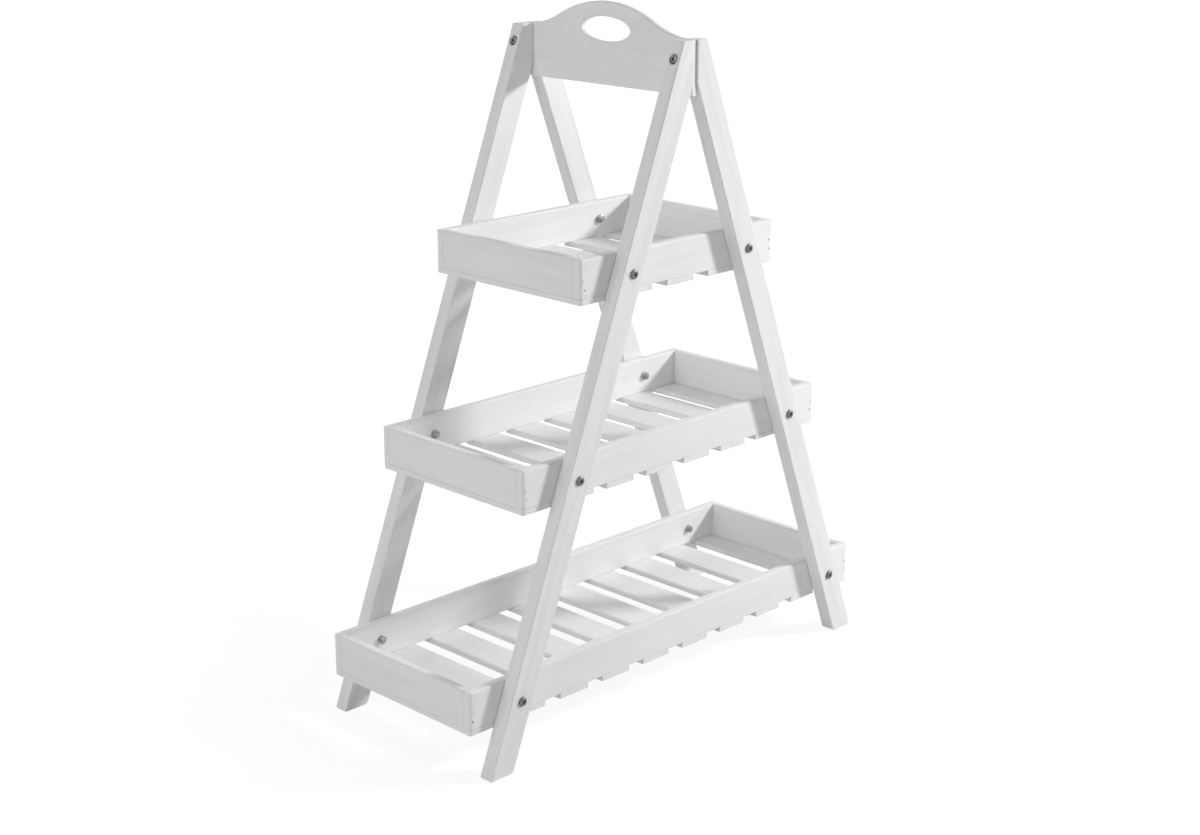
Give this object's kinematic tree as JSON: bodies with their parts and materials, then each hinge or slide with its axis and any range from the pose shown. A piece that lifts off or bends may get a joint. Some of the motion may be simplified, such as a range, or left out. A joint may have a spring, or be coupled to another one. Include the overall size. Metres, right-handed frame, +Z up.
{
  "type": "plant stand",
  "caption": "A-frame plant ladder: slatted trays in tiers bolted between leaning legs, with an arched handle board at the apex.",
  "frame": {"origin": "centre of the footprint on the floor", "axes": "+X along the trays, +Y from the front A-frame to the rear one, +Z up"},
  "size_m": [0.58, 0.245, 0.715],
  "materials": {
    "painted_wood": "white paint, satin, with a faint grain",
    "zinc_steel": "dull zinc plating"
  },
  "bodies": {
    "root": {"leg_front_left": "painted_wood", "leg_front_right": "painted_wood", "bolt_apex_front": "zinc_steel", "leg_rear_left": "painted_wood", "leg_rear_right": "painted_wood", "bolt_apex_rear": "zinc_steel", "handle_board": "painted_wood", "top_tray_front_board": "painted_wood", "top_tray_rear_board": "painted_wood", "top_tray_left_end": "painted_wood", "top_tray_right_end": "painted_wood", "bolt_top_front_left": "zinc_steel", "bolt_top_front_right": "zinc_steel", "bolt_top_rear_left": "zinc_steel", "bolt_top_rear_right": "zinc_steel", "top_tray_slat_1": "painted_wood", "top_tray_slat_2": "painted_wood", "top_tray_slat_3": "painted_wood", "top_tray_slat_4": "painted_wood", "top_tray_slat_5": "painted_wood", "middle_tray_front_board": "painted_wood", "middle_tray_rear_board": "painted_wood", "middle_tray_left_end": "painted_wood", "middle_tray_right_end": "painted_wood", "bolt_middle_front_left": "zinc_steel", "bolt_middle_front_right": "zinc_steel", "bolt_middle_rear_left": "zinc_steel", "bolt_middle_rear_right": "zinc_steel", "middle_tray_slat_1": "painted_wood", "middle_tray_slat_2": "painted_wood", "middle_tray_slat_3": "painted_wood", "middle_tray_slat_4": "painted_wood", "middle_tray_slat_5": "painted_wood", "middle_tray_slat_6": "painted_wood", "middle_tray_slat_7": "painted_wood", "middle_tray_slat_8": "painted_wood", "bottom_tray_front_board": "painted_wood", "bottom_tray_rear_board": "painted_wood", "bottom_tray_left_end": "painted_wood", "bottom_tray_right_end": "painted_wood", "bolt_bottom_front_left": "zinc_steel", "bolt_bottom_front_right": "zinc_steel", "bolt_bottom_rear_left": "zinc_steel", "bolt_bottom_rear_right": "zinc_steel", "bottom_tray_slat_1": "painted_wood", "bottom_tray_slat_2": "painted_wood", "bottom_tray_slat_3": "painted_wood", "bottom_tray_slat_4": "painted_wood", "bottom_tray_slat_5": "painted_wood", "bottom_tray_slat_6": "painted_wood", "bottom_tray_slat_7": "painted_wood", "bottom_tray_slat_8": "painted_wood", "bottom_tray_slat_9": "painted_wood", "bottom_tray_slat_10": "painted_wood"}
  },
  "joints": []
}
